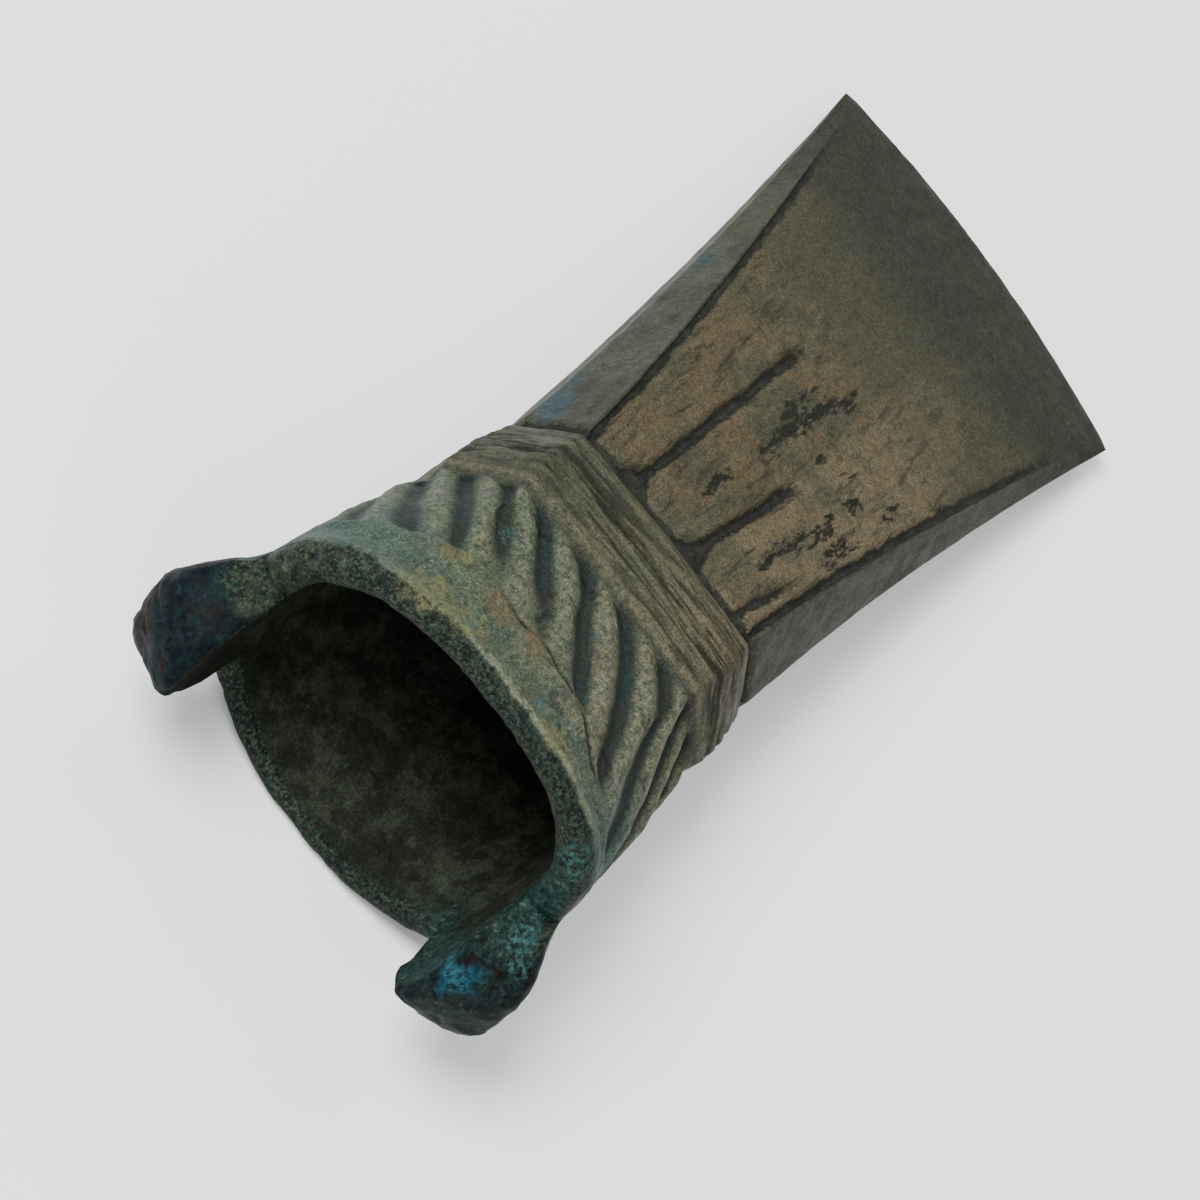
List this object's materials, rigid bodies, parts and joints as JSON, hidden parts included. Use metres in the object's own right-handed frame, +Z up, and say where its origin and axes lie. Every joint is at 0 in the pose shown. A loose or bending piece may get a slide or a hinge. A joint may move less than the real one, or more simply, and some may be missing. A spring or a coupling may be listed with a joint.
{
  "type": "bronze age axe head",
  "caption": "Hollow cast socketed axe head with a flaring blade, a ridged band, slanting flutes round the neck and two lugs at the mouth.",
  "frame": {"origin": "centre of the bounding box on the ground, with the axe head lying on its back face", "axes": "+X from the mouth of the socket towards the cutting edge, +Z up, through the decorated front face"},
  "size_m": [0.1316, 0.0576, 0.0405],
  "materials": {
    "bronze": "old cast bronze with a matt olive, green and brown patina"
  },
  "bodies": {
    "root": {"axe_head": "bronze"}
  },
  "joints": []
}
